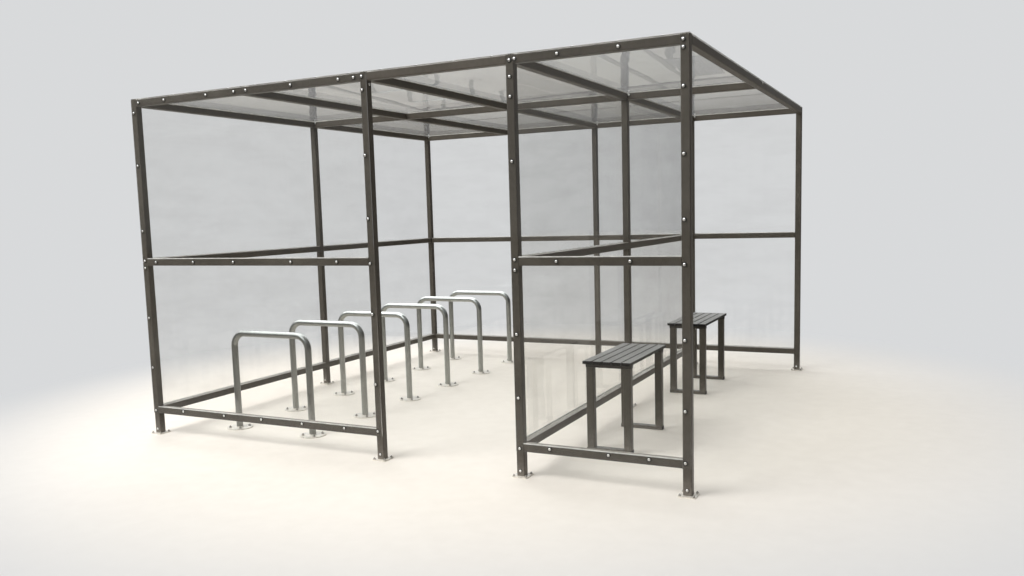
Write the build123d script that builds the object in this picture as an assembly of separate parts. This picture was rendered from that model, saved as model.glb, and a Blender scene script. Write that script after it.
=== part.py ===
from build123d import *
import os

# Open-frame cycle shelter with a seating bay, in millimetres.
# The origin is on the ground at the middle of the plan: +X runs to the right along the front,
# +Y runs from the front to the rear, and +Z is up. The shelter stands on a grid of equal bays,
# four across and two deep. Posts stand on grid crossings, and rails run between their faces.

# Grid and heights
bay_width = 1000.0
bay_depth = 2000.0
bays_across = 4
bays_deep = 2
entrance_column = 2
partition_column = 3
middle_row = 1
frame_height = 2445.0
bottom_rail_z = 180.0
mid_rail_z = 1280.0

# Square box section of the posts, rails and rafters
section = 50.0
section_wall = 3.0
section_corner = 6.0

# Galvanised feet of the posts
foot_plate_side = 100.0
foot_plate_thickness = 6.0
foot_plate_corner = 6.0
foot_hole_spacing = 78.0
foot_hole_diameter = 10.0
foot_spigot_height = 70.0
foot_spigot_clearance = 0.5

# Clear sheets
wall_sheet_thickness = 4.0
roof_sheet_thickness = 5.0
sheet_edge_inset = 3.0
sheet_joint_gap = 4.0
sheet_notch_clearance = 2.0

# Bike hoops, parallel to the front, one behind the other
hoop_count = 6
hoop_first_y = -1660.0
hoop_pitch = 652.0
hoop_centre_x = -1190.0
hoop_leg_spacing = 695.0
hoop_height = 750.0
hoop_tube_diameter = 48.0
hoop_tube_wall = 3.0
hoop_bend_radius = 100.0
hoop_flange_diameter = 190.0
hoop_flange_thickness = 6.0
hoop_flange_hole_circle = 140.0
hoop_flange_hole_diameter = 12.0
hoop_flange_hole_count = 4

# Slatted benches beside the partition
bench_centre_x = 1312.0
bench_centre_offset_y = 980.0
bench_length = 800.0
bench_seat_height = 600.0
bench_slat_count = 5
bench_slat_width = 58.0
bench_slat_gap = 7.5
bench_slat_thickness = 20.0
bench_slat_corner = 2.0
bench_leg_side = 50.0
bench_bar_height = 25.0
bench_bar_wall = 2.5
bench_frame_width = 300.0
bench_end_overhang = 33.0

# Worked-out positions
half_section = section / 2
frame_half_width = bays_across * bay_width / 2 + half_section
frame_half_depth = bays_deep * bay_depth / 2 + half_section
top_rail_z = frame_height - half_section

# Columns with posts, rows, and the spans between neighbours
post_columns = [0, entrance_column, partition_column, bays_across]
rows = list(range(bays_deep + 1))
post_spans = list(zip(post_columns, post_columns[1:]))
row_spans = list(zip(rows, rows[1:]))

# Posts: name, grid column and grid row
posts = {
    "post_front_left": (0, 0),
    "post_front_middle": (entrance_column, 0),
    "post_partition_front": (partition_column, 0),
    "post_front_right": (bays_across, 0),
    "post_left_middle": (0, middle_row),
    "post_partition_middle": (partition_column, middle_row),
    "post_rear_left": (0, bays_deep),
    "post_rear_middle": (entrance_column, bays_deep),
    "post_partition_rear": (partition_column, bays_deep),
    "post_rear_right": (bays_across, bays_deep),
}


def grid_x(column):
    """Centre line of a grid column, counted from 0 at the left side."""
    return (column - bays_across / 2) * bay_width


def grid_y(row):
    """Centre line of a grid row, counted from 0 at the front."""
    return (row - bays_deep / 2) * bay_depth


def hollow_profile(width, height, wall, corner):
    """Flat outline of a rolled box section, rounded outside and inside."""
    outer = RectangleRounded(width, height, corner)
    inner = RectangleRounded(width - 2 * wall, height - 2 * wall, corner / 2)
    return outer - inner


def square_tube(start, end, side=section, wall=section_wall, corner=section_corner):
    """Square tube whose centre line runs from start to end along one axis."""
    line = Vector(*end) - Vector(*start)
    plane = Plane(origin=start, z_dir=line.normalized())
    return extrude(plane * hollow_profile(side, side, wall, corner), amount=line.length)


def post(column, row):
    """Upright tube that stands on its foot plate and reaches the top of the frame."""
    x, y = grid_x(column), grid_y(row)
    return square_tube((x, y, foot_plate_thickness), (x, y, frame_height))


def rail_across(first, last, row, z):
    """Rail along X between the faces of the members on two grid columns."""
    y = grid_y(row)
    return square_tube((grid_x(first) + half_section, y, z), (grid_x(last) - half_section, y, z))


def rail_deep(first, last, column, z):
    """Rail along Y between the faces of the members on two grid rows."""
    x = grid_x(column)
    return square_tube((x, grid_y(first) + half_section, z), (x, grid_y(last) - half_section, z))


def foot_plate(column, row):
    """Square plate with rounded corners and one anchor hole near each corner."""
    outline = RectangleRounded(foot_plate_side, foot_plate_side, foot_plate_corner)
    holes = GridLocations(foot_hole_spacing, foot_hole_spacing, 2, 2) * Circle(foot_hole_diameter / 2)
    plate = extrude(outline - holes, amount=foot_plate_thickness)
    return Pos(grid_x(column), grid_y(row), 0) * plate


def foot_spigot(column, row):
    """Short tube on the foot plate that fits inside the post."""
    side = section - 2 * section_wall - 2 * foot_spigot_clearance
    x, y = grid_x(column), grid_y(row)
    top = foot_plate_thickness + foot_spigot_height
    return square_tube((x, y, foot_plate_thickness), (x, y, top), side=side)


def box_between(low, high):
    """Box from its lowest to its highest corner."""
    size = [b - a for a, b in zip(low, high)]
    return Pos(*low) * Box(*size, align=(Align.MIN, Align.MIN, Align.MIN))


def sheet_bands():
    """Lower and upper height ranges of the sheets, which meet on the mid rail."""
    lower = (bottom_rail_z - half_section + sheet_edge_inset, mid_rail_z - sheet_joint_gap / 2)
    upper = (mid_rail_z + sheet_joint_gap / 2, frame_height - sheet_edge_inset)
    return [lower, upper]


def sheet_spans(lines, grid, first_inset, last_inset):
    """Ranges between neighbouring grid lines, with a joint gap on each inner line."""
    spans = []
    for first, last in zip(lines, lines[1:]):
        low = grid(first) + sheet_joint_gap / 2
        high = grid(last) - sheet_joint_gap / 2
        if first == lines[0]:
            low = grid(first) - half_section + first_inset
        if last == lines[-1]:
            high = grid(last) + half_section - last_inset
        spans.append((low, high))
    return spans


def sheets_across(columns, face_y, outward):
    """Sheets along X on the outer face of a front or rear wall."""
    y = sorted((face_y, face_y + outward * wall_sheet_thickness))
    spans = sheet_spans(columns, grid_x, sheet_edge_inset, sheet_edge_inset)
    return [
        box_between((x_low, y[0], z_low), (x_high, y[1], z_high))
        for x_low, x_high in spans
        for z_low, z_high in sheet_bands()
    ]


def sheets_deep(rows, face_x, outward, end_inset):
    """Sheets along Y on the outer face of a side wall or the partition."""
    x = sorted((face_x, face_x + outward * wall_sheet_thickness))
    spans = sheet_spans(rows, grid_y, end_inset, end_inset)
    return [
        box_between((x[0], y_low, z_low), (x[1], y_high, z_high))
        for y_low, y_high in spans
        for z_low, z_high in sheet_bands()
    ]


def partition_sheets():
    """Partition sheets between the end posts, notched where the purlin passes."""
    face_x = grid_x(partition_column) - half_section
    purlin_y = grid_y(middle_row)
    notch_half = half_section + sheet_notch_clearance
    notch = box_between(
        (face_x - 2 * wall_sheet_thickness, purlin_y - notch_half, top_rail_z - notch_half),
        (face_x + wall_sheet_thickness, purlin_y + notch_half, frame_height + section),
    )
    sheets = sheets_deep(rows, face_x, -1, section + sheet_notch_clearance)
    return [sheet - notch for sheet in sheets]


def roof_sheets():
    """Roof sheets on top of the frame, which meet on the rafters and the purlin."""
    x_spans = sheet_spans(list(range(bays_across + 1)), grid_x, 0, 0)
    y_spans = sheet_spans(rows, grid_y, 0, 0)
    return [
        box_between((x_low, y_low, frame_height), (x_high, y_high, frame_height + roof_sheet_thickness))
        for x_low, x_high in x_spans
        for y_low, y_high in y_spans
    ]


def hoop_path():
    """Centre line of a hoop: up one leg, across the top and down the other leg."""
    half_span = hoop_leg_spacing / 2
    top = hoop_height - hoop_tube_diameter / 2
    foot = hoop_flange_thickness
    points = [(-half_span, 0, foot), (-half_span, 0, top), (half_span, 0, top), (half_span, 0, foot)]
    return FilletPolyline(*points, radius=hoop_bend_radius)


def hoop_flange():
    """Round flange with a ring of anchor holes."""
    holes = PolarLocations(hoop_flange_hole_circle / 2, hoop_flange_hole_count, start_angle=45)
    outline = Circle(hoop_flange_diameter / 2) - holes * Circle(hoop_flange_hole_diameter / 2)
    return extrude(outline, amount=hoop_flange_thickness)


def bike_hoop(index):
    """Bent tube welded to a round flange at each foot."""
    path = hoop_path()
    outer = Circle(hoop_tube_diameter / 2)
    inner = Circle(hoop_tube_diameter / 2 - hoop_tube_wall)
    tube = sweep(Plane(origin=path @ 0, z_dir=path % 0) * (outer - inner), path=path)
    flanges = [Pos(side * hoop_leg_spacing / 2, 0, 0) * hoop_flange() for side in (-1, 1)]
    y = hoop_first_y + index * hoop_pitch
    return Pos(hoop_centre_x, y, 0) * (tube + flanges)


def bench_frame_offsets():
    """Distances from the bench's middle to its two end frames."""
    offset = bench_length / 2 - bench_end_overhang - bench_leg_side / 2
    return (-offset, offset)


def bench_legs(centre_y):
    """Four square tubes between the bottom and top bars of a bench."""
    low = bench_bar_height
    high = bench_seat_height - bench_slat_thickness - bench_bar_height
    reach = bench_frame_width / 2 - bench_leg_side / 2
    return [
        square_tube((x, y, low), (x, y, high), side=bench_leg_side)
        for x in (bench_centre_x - reach, bench_centre_x + reach)
        for y in (centre_y + offset for offset in bench_frame_offsets())
    ]


def bench_bars(centre_y):
    """Flat box bars under the legs, on the ground, and over them, under the slats."""
    profile = hollow_profile(bench_leg_side, bench_bar_height, bench_bar_wall, bench_bar_wall)
    start_x = bench_centre_x - bench_frame_width / 2
    top_z = bench_seat_height - bench_slat_thickness - bench_bar_height / 2
    starts = [
        Plane(origin=(start_x, centre_y + offset, z), x_dir=(0, 1, 0), z_dir=(1, 0, 0))
        for offset in bench_frame_offsets()
        for z in (bench_bar_height / 2, top_z)
    ]
    return [extrude(start * profile, amount=bench_frame_width) for start in starts]


def bench_slats(centre_y):
    """Rounded slats that run along the bench, side by side."""
    profile = RectangleRounded(bench_slat_width, bench_slat_thickness, bench_slat_corner)
    pitch = bench_slat_width + bench_slat_gap
    first_x = bench_centre_x - pitch * (bench_slat_count - 1) / 2
    z = bench_seat_height - bench_slat_thickness / 2
    start_y = centre_y - bench_length / 2
    starts = [
        Plane(origin=(first_x + i * pitch, start_y, z), x_dir=(1, 0, 0), z_dir=(0, 1, 0))
        for i in range(bench_slat_count)
    ]
    return [extrude(start * profile, amount=bench_length) for start in starts]


def rails():
    """Rails, rafters and the purlin, by node name."""
    bike_wall, seat_wall = post_spans[0], post_spans[-1]
    rafter_columns = range(1, partition_column)
    nodes = {
        "top_rail_front": [rail_across(*span, 0, top_rail_z) for span in post_spans],
        "top_rail_rear": [rail_across(*span, bays_deep, top_rail_z) for span in post_spans],
        "top_rail_left": [rail_deep(*span, 0, top_rail_z) for span in row_spans],
        "top_rail_right": [rail_deep(0, bays_deep, bays_across, top_rail_z)],
        "roof_rafters": [rail_deep(0, bays_deep, column, top_rail_z) for column in rafter_columns],
        "rafter_partition": [rail_deep(*span, partition_column, top_rail_z) for span in row_spans],
        "roof_purlin": [rail_across(a, a + 1, middle_row, top_rail_z) for a in range(bays_across)],
    }
    for level, z in (("mid", mid_rail_z), ("bottom", bottom_rail_z)):
        nodes[level + "_rail_front"] = [rail_across(*span, 0, z) for span in (bike_wall, seat_wall)]
        nodes[level + "_rail_rear"] = [rail_across(*span, bays_deep, z) for span in post_spans]
        nodes[level + "_rail_left"] = [rail_deep(*span, 0, z) for span in row_spans]
        nodes[level + "_rail_partition"] = [rail_deep(*span, partition_column, z) for span in row_spans]
    return nodes


def sheets():
    """Clear wall and roof sheets, by node name."""
    return {
        "sheets_front_left": sheets_across(post_columns[:2], -frame_half_depth, -1),
        "sheets_front_right": sheets_across(post_columns[-2:], -frame_half_depth, -1),
        "sheets_rear": sheets_across(post_columns, frame_half_depth, 1),
        "sheets_left": sheets_deep(rows, -frame_half_width, -1, sheet_edge_inset),
        "sheets_partition": partition_sheets(),
        "sheets_roof": roof_sheets(),
    }


def benches():
    """Legs, bars and slats of the front and rear benches, by node name."""
    nodes = {}
    for name, side in (("front_bench", -1), ("rear_bench", 1)):
        centre_y = side * bench_centre_offset_y
        nodes[name + "_legs"] = bench_legs(centre_y)
        nodes[name + "_bars"] = bench_bars(centre_y)
        nodes[name + "_slats"] = bench_slats(centre_y)
    return nodes


def build_nodes():
    """Every node of the shelter: its name and its solids."""
    nodes = {name: [post(*place)] for name, place in posts.items()}
    nodes["foot_plates"] = [foot_plate(*place) for place in posts.values()]
    nodes["foot_spigots"] = [foot_spigot(*place) for place in posts.values()]
    nodes.update(rails())
    nodes.update(sheets())
    nodes.update(benches())
    for index in range(hoop_count):
        nodes[f"bike_hoop_{index + 1}"] = [bike_hoop(index)]
    return nodes


os.makedirs("parts", exist_ok=True)
for name, pieces in build_nodes().items():
    shape = pieces[0] if len(pieces) == 1 else Compound(children=pieces)
    export_step(shape, f"parts/{name}.step")
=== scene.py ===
# %% [markdown]
# # A bike shelter with a seating bay
#
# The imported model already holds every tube, sheet, slat and hoop of the shelter, at its real
# size and in its real place. This lesson dresses it: it gives each node a finish worked out from
# shader nodes, and adds the small pieces that a fitter would bring along, such as bolts, nuts,
# weld beads, sealant and end caps. Lengths are in metres, +Z is up, and the front faces -Y.

# %% Load the fixed frame
import math

import bpy
import numpy as np
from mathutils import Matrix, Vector


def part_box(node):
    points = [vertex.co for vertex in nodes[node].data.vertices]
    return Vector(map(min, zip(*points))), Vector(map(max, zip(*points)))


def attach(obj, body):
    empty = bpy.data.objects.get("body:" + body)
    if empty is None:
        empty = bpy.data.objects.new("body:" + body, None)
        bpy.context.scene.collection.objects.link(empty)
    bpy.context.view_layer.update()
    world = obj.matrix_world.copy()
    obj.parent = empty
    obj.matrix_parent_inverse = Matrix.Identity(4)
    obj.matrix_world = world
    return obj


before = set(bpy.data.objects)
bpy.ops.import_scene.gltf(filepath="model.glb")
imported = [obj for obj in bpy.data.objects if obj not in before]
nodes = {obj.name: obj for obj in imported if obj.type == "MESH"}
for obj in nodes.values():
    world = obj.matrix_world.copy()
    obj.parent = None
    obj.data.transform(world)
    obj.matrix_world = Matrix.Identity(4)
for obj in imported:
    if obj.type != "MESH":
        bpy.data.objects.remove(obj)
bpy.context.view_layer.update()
print("nodes:", len(nodes))

# %% [markdown]
# The shelter stands on a grid: columns 1 m apart across the front and rows 2 m apart in depth.
# The new pieces are placed from the same few sizes that the tubes and sheets have, so they are
# written once here, and the boxes of some nodes are printed to confirm them.

# %% Sizes of the shelter
def middle_z(name):
    """Height of the centre line of a level node."""
    low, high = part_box(name)
    return (low.z + high.z) / 2


TUBE = 0.050
HALF = TUBE / 2
FRAME_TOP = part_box("post_front_left")[1].z
MID_Z = middle_z("mid_rail_front")
BOTTOM_Z = middle_z("bottom_rail_front")
TOP_RAIL_Z = middle_z("top_rail_front")
WALL_SHEET = 0.004
ROOF_SHEET = 0.005
COLUMNS = np.array([-2.0, -1.0, 0.0, 1.0, 2.0])
ROWS = np.array([-2.0, 0.0, 2.0])
PARTITION_X = 1.0
POSTS = [(-2, -2), (0, -2), (1, -2), (2, -2), (-2, 0), (1, 0), (-2, 2), (0, 2), (1, 2), (2, 2)]
PLATE_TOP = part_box("foot_plates")[1].z
HOOP_BOXES = [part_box(f"bike_hoop_{number}") for number in range(1, 7)]
HOOP_LOW, HOOP_HIGH = HOOP_BOXES[0]
HOOP_YS = np.array([(low.y + high.y) / 2 for low, high in HOOP_BOXES])
FLANGE_RADIUS = 0.095
LEG_RADIUS = 0.024
LEG_XS = (HOOP_LOW.x + FLANGE_RADIUS, HOOP_HIGH.x - FLANGE_RADIUS)
print("foot plate top", round(PLATE_TOP, 4), "hoop legs at x", [round(x, 3) for x in LEG_XS])

# %% [markdown]
# New pieces are surfaces on grids. A grid of points is an array with one row for each step of a
# profile and one column for each step round or along a path. Its faces only depend on the counts,
# so one helper makes them all. Every mesh goes in with whole arrays, with its place in its
# points, so the object itself stays at the origin.

# %% Grid helpers
def grid_quads(rows, columns, wrap_rows=False):
    """Quads between neighbouring points of a grid whose columns go round; its rows do if asked."""
    i = np.arange(rows if wrap_rows else rows - 1)[:, None]
    j = np.arange(columns)[None, :]
    k = (j + 1) % columns
    low, high = i * columns, (i + 1) % rows * columns
    return np.stack([low + j, low + k, high + k, high + j], axis=-1).reshape(-1, 4)


def closed_grid(rows, columns):
    """Faces of a form made of rings, one to a row: the quads round it and one face over each end."""
    last = (rows - 1) * columns
    ends = [list(range(columns))[::-1], list(range(last, last + columns))]
    return grid_quads(rows, columns).tolist() + ends


def repeated(faces, point_count, copy_count):
    """One shape's faces for several copies of it, each with point_count points of its own."""
    return [[v + n * point_count for v in face] for n in range(copy_count) for face in faces]


def turned(profile, segments):
    """Each (r, h) of the profile goes once round Z, to (r*cos t, r*sin t, h); both ends are closed."""
    radius, height = np.array(profile, float).T
    angle = np.arange(segments) * 2 * math.pi / segments
    x, y = radius[:, None] * np.cos(angle), radius[:, None] * np.sin(angle)
    z = np.repeat(height[:, None], segments, 1)
    return np.stack([x, y, z], axis=-1).reshape(-1, 3), closed_grid(len(radius), segments)


def copies(shape, places, axes):
    """The shape at each place, with its Z along each axis: point = place + x*side + y*across + z*axis."""
    points, faces = shape
    places, axes = np.atleast_2d(places).astype(float), np.atleast_2d(axes).astype(float)
    axes = np.broadcast_to(axes, places.shape)
    axes = axes / np.linalg.norm(axes, axis=1, keepdims=True)
    # The side is square to the axis and to a helper direction, which is X for an upright axis.
    helper = np.where(np.abs(axes[:, 2:3]) > 0.9, [[1.0, 0.0, 0.0]], [[0.0, 0.0, 1.0]])
    side = np.cross(helper, axes)
    side /= np.linalg.norm(side, axis=1, keepdims=True)
    turn = np.stack([side, np.cross(axes, side), axes], axis=1)
    moved = points @ turn + places[:, None, :]
    return moved.reshape(-1, 3), repeated(faces, len(points), len(places))


def joined(*shapes):
    """Several shapes as one list of points and one list of faces."""
    offsets = np.cumsum([0] + [len(points) for points, _ in shapes[:-1]])
    faces = [[v + int(start) for v in face] for start, (_, fs) in zip(offsets, shapes) for face in fs]
    return np.concatenate([points for points, _ in shapes]), faces


def add_piece(name, shape, material, smooth_angle=40):
    """Makes the mesh, shades it smooth up to an angle between faces, and lets it ride on the frame."""
    points, faces = shape
    mesh = bpy.data.meshes.new(name)
    mesh.from_pydata(points.tolist(), [], faces)
    mesh.polygons.foreach_set("use_smooth", np.ones(len(mesh.polygons), bool))
    mesh.set_sharp_from_angle(angle=math.radians(smooth_angle))
    mesh.update()
    piece = bpy.data.objects.new(name, mesh)
    bpy.context.scene.collection.objects.link(piece)
    mesh.materials.append(material)
    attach(piece, "root")
    print(name, "faces", len(faces))


print("faces of a closed grid, 3 by 4:", len(closed_grid(3, 4)))

# %% [markdown]
# ## Shader node groups
#
# Paint, zinc and plastic share some effects: a slow change of tone, a fine relief that breaks the
# highlights, and the pale dust that settles on upper faces and near the ground. Each is a node
# group that puts out only colours, masks or heights, so it can serve several materials with
# their own values. All of them read Object coordinates, which are metres here.

# %% Small wrappers around node trees
def new_group(name, inputs, outputs):
    """An empty shader group with named float or colour sockets, given as (name, kind, default)."""
    tree = bpy.data.node_groups.new(name, "ShaderNodeTree")
    kinds = {"float": "NodeSocketFloat", "colour": "NodeSocketColor"}
    for label, kind, default in inputs:
        socket = tree.interface.new_socket(label, in_out="INPUT", socket_type=kinds[kind])
        socket.default_value = default
    for label, kind in outputs:
        tree.interface.new_socket(label, in_out="OUTPUT", socket_type=kinds[kind])
    return tree, tree.nodes.new("NodeGroupInput"), tree.nodes.new("NodeGroupOutput")


def feed(tree, target, value):
    """Links a socket to the target, or sets the target to a plain value."""
    if isinstance(value, bpy.types.NodeSocket):
        tree.links.new(value, target)
    else:
        target.default_value = value


def node(tree, kind, settings=None, **inputs):
    """A node with its settings and its inputs: the key i0 means input 0, other keys are names."""
    n = tree.nodes.new(kind)
    for key, value in (settings or {}).items():
        setattr(n, key, value)
    for key, value in inputs.items():
        numbered = key[0] == "i" and key[1:].isdigit()
        feed(tree, n.inputs[int(key[1:]) if numbered else key.replace("_", " ")], value)
    return n


def object_place(tree):
    """Object coordinates, in metres from the origin of the shared frame."""
    return node(tree, "ShaderNodeTexCoord").outputs["Object"]


def part_of(tree, vector, axis):
    """The X, Y or Z part of a vector."""
    return node(tree, "ShaderNodeSeparateXYZ", {}, Vector=vector).outputs[axis]


def noise(tree, place, scale, detail, roughness=0.5):
    """The grey value of a noise; detail and roughness say how much finer noise lies over it."""
    return node(tree, "ShaderNodeTexNoise", {}, Vector=place, Scale=scale, Detail=detail,
                Roughness=roughness).outputs[0]


def scaled(tree, socket, low=0.0, high=1.0, to_low=0.0, to_high=1.0, curve="LINEAR"):
    """The socket's range from low to high, mapped onto another range and held inside it."""
    return node(tree, "ShaderNodeMapRange", {"interpolation_type": curve}, Value=socket,
                From_Min=low, From_Max=high, To_Min=to_low, To_Max=to_high).outputs[0]


def combined(tree, operation, a, b):
    """Two values put together by one step of arithmetic."""
    return node(tree, "ShaderNodeMath", {"operation": operation}, i0=a, i1=b).outputs[0]


def times(tree, a, b):
    """The product of two values."""
    return combined(tree, "MULTIPLY", a, b)


def larger(tree, a, b):
    """The larger of two values; for masks of 0 and 1 it means either."""
    return combined(tree, "MAXIMUM", a, b)


def blended(tree, factor, a, b):
    """Colour a where the factor is 0 and colour b where it is 1."""
    return node(tree, "ShaderNodeMix", {"data_type": "RGBA"}, i0=factor, i6=a, i7=b).outputs[2]


def between(tree, factor, a, b):
    """Value a where the factor is 0 and value b where it is 1."""
    return node(tree, "ShaderNodeMix", {"data_type": "FLOAT"}, i0=factor, i2=a, i3=b).outputs[0]

# %% [markdown]
# **Tone.** No paint, zinc or plastic has one flat colour. Two noises are enough: a broad one for
# weathering and a fine one for the surface. A noise rarely leaves the middle of its range, so
# that middle is stretched to the whole way from the darker shade to the lighter one.

# %% Tone group
FINE_SHARE = 0.35
TONE_RANGE = (0.36, 0.64)


def tone_group():
    """Two noises, one broad and one fine, move a colour between a darker and a lighter shade."""
    tree, given, out = new_group(
        "Tone change",
        [("Dark", "colour", (0, 0, 0, 1)), ("Light", "colour", (1, 1, 1, 1)),
         ("Broad scale", "float", 2.0), ("Fine scale", "float", 60.0)],
        [("Color", "colour"), ("Mask", "float")],
    )
    place = object_place(tree)
    broad = noise(tree, place, given.outputs["Broad scale"], detail=3.0)
    fine = noise(tree, place, given.outputs["Fine scale"], detail=4.0)
    mask = scaled(tree, between(tree, FINE_SHARE, broad, fine), *TONE_RANGE)
    tree.links.new(mask, out.inputs["Mask"])
    shade = blended(tree, mask, given.outputs["Dark"], given.outputs["Light"])
    tree.links.new(shade, out.inputs["Color"])
    return tree


TONE = tone_group()
print("group:", TONE.name)

# %% [markdown]
# **Dust.** It lies where rain doesn't wash it off: on faces that look up, at the foot of the
# tubes, where drops splash it up from the slab, and on the plates that lie on the ground. Each
# is a mask of its own, and the largest counts. A grainy noise breaks its edges.

# %% Dust group
FACES_UP = (0.55, 0.95)
GRAIN_RANGE = (0.35, 0.65)
PLATE_DUST_ENDS = (0.009, 0.014)


def dust_group():
    """Dust mask: faces that look up, a splash zone that fades with height, and plates on the ground."""
    tree, given, out = new_group(
        "Settled dust",
        [("Top amount", "float", 0.5), ("Splash amount", "float", 0.5),
         ("Splash height", "float", 0.25), ("Foot amount", "float", 0.0)],
        [("Mask", "float")],
    )
    place = object_place(tree)
    height = part_of(tree, place, "Z")
    up = part_of(tree, node(tree, "ShaderNodeNewGeometry").outputs["Normal"], "Z")
    on_top = times(tree, scaled(tree, up, *FACES_UP), given.outputs["Top amount"])
    fade = scaled(tree, height, 0.0, given.outputs["Splash height"], 1.0, 0.0)
    low = times(tree, times(tree, fade, fade), given.outputs["Splash amount"])
    near_ground = scaled(tree, height, *PLATE_DUST_ENDS, 1.0, 0.0)
    foot = times(tree, near_ground, given.outputs["Foot amount"])
    whole = larger(tree, larger(tree, on_top, low), foot)
    grains = noise(tree, place, scale=45.0, detail=8.0, roughness=0.7)
    broken = times(tree, whole, scaled(tree, grains, *GRAIN_RANGE, to_low=0.35))
    tree.links.new(broken, out.inputs["Mask"])
    return tree


DUST = dust_group()
print("group:", DUST.name)

# %% [markdown]
# **Relief.** A sprayed skin has a fine orange peel, and a cast or dipped one also has slow waves.
# Both are too small to model, but they break up a highlight, so they are heights for a bump.

# %% Relief group
def relief_group():
    """Height of a sprayed or cast skin: a fine noise, with a slow wave under it."""
    tree, given, out = new_group(
        "Skin relief",
        [("Grain scale", "float", 600.0), ("Wave scale", "float", 12.0),
         ("Wave share", "float", 0.4)],
        [("Height", "float")],
    )
    place = object_place(tree)
    grain = noise(tree, place, given.outputs["Grain scale"], detail=2.0)
    wave = noise(tree, place, given.outputs["Wave scale"], detail=2.0)
    height = between(tree, given.outputs["Wave share"], grain, wave)
    tree.links.new(height, out.inputs["Height"])
    return tree


RELIEF = relief_group()
print("group:", RELIEF.name)

# %% [markdown]
# Each finish starts in the same way: a material with one Principled shader, whose plain values
# are set on the shader itself. The groups then change its colour, its roughness and its normal.

# %% Starting a material
def start_material(name, **values):
    """A material with one Principled shader, whose plain sockets are set from the values."""
    material = bpy.data.materials.new(name)
    material.use_nodes = True
    tree = material.node_tree
    tree.nodes.clear()
    shader = node(tree, "ShaderNodeBsdfPrincipled", {}, **values)
    output = tree.nodes.new("ShaderNodeOutputMaterial")
    tree.links.new(shader.outputs[0], output.inputs["Surface"])
    return material, tree, shader, output


def use_group(tree, group, **inputs):
    """A group placed in a material, with its own values."""
    n = tree.nodes.new("ShaderNodeGroup")
    n.node_tree = group
    for key, value in inputs.items():
        feed(tree, n.inputs[key.replace("_", " ")], value)
    return n


def add_relief(tree, shader, height, strength, distance):
    """A bump from the height into the shader's normal; distance is the relief's depth in metres."""
    bump = node(tree, "ShaderNodeBump", {}, Strength=strength, Distance=distance, Height=height)
    tree.links.new(bump.outputs[0], shader.inputs["Normal"])

# %% [markdown]
# ## Finishes
#
# ** Painted tubes.** The frame is a dark grey-brown satin paint. Real paint on steel is never one
# flat value, so it moves slowly between two close shades, has a fine orange-peel skin, and gets
# pale dust on its upper faces, thick enough on the frame to paint the sheen of grazing light there
# too, and cement splashes near the feet. The benches have the same paint a little darker, and
# their flat bars are darker still, as painted shade under the slats, so one function makes all three.

# %% Paint
DUST_AND_SHEEN_COLOUR = (0.50, 0.46, 0.40, 1)
DUST_ROUGHNESS = 0.35


def paint(name, dark, light, top_dust_and_sheen, splash):
    """Satin paint: two shades, dust and painted sheen by the dust mask, and rougher where the dust lies.
    """
    material, tree, shader, _ = start_material(name, Metallic=0.0, IOR=1.5, Specular_IOR_Level=0.3)
    tone = use_group(tree, TONE, Dark=dark, Light=light, Broad_scale=2.3, Fine_scale=38.0)
    dust = use_group(tree, DUST, Top_amount=top_dust_and_sheen, Splash_amount=splash, Splash_height=0.16)
    base = blended(tree, dust.outputs[0], tone.outputs[0], DUST_AND_SHEEN_COLOUR)
    tree.links.new(base, shader.inputs["Base Color"])
    clean = scaled(tree, tone.outputs[1], to_low=0.32, to_high=0.42)
    rough = combined(tree, "ADD", clean, times(tree, dust.outputs[0], DUST_ROUGHNESS))
    tree.links.new(rough, shader.inputs["Roughness"])
    relief = use_group(tree, RELIEF, Grain_scale=900.0, Wave_scale=9.0, Wave_share=0.5)
    add_relief(tree, shader, relief.outputs[0], strength=0.25, distance=0.0003)
    return material


# On the frame the dust on upper faces is laid on thick, to paint the sheen of grazing light there too.
FRAME_PAINT = paint("frame_paint", (0.070, 0.061, 0.050, 1), (0.096, 0.085, 0.070, 1), 0.50, 0.45)
BENCH_PAINT = paint("bench_paint", (0.058, 0.051, 0.041, 1), (0.083, 0.074, 0.059, 1), 0.20, 0.35)
# The bars' darker paint is painted shade: the shadow under the slats' overhang.
BAR_PAINTED_SHADE = paint("bench_bar_painted_shade", (0.030, 0.027, 0.022, 1), (0.046, 0.041, 0.034, 1), 0.20, 0.35)
print("paints:", FRAME_PAINT.name, BENCH_PAINT.name, BAR_PAINTED_SHADE.name)

# %% [markdown]
# ** Galvanised steel.** Hot-dip zinc cools into crystals, which show as small patches that differ
# a little in brightness and gloss. A Voronoi pattern gives each cell its own value. The hoops and
# the foot plates have weathered to a dull grey, so the shader is metallic, but rather rough. Zinc
# further in, under the roof, is painted brighter: painted light for the sheen and sheet reflections
# that the far hoops show.

# %% Zinc
SLAB_DUST = (0.80, 0.75, 0.67, 1)
PAINTED_LIGHT_FROM_Y, PAINTED_LIGHT_FULL_Y = -1.75, -0.60
CELL_SHARE = 0.3
METAL_HIDDEN = 0.6


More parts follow.
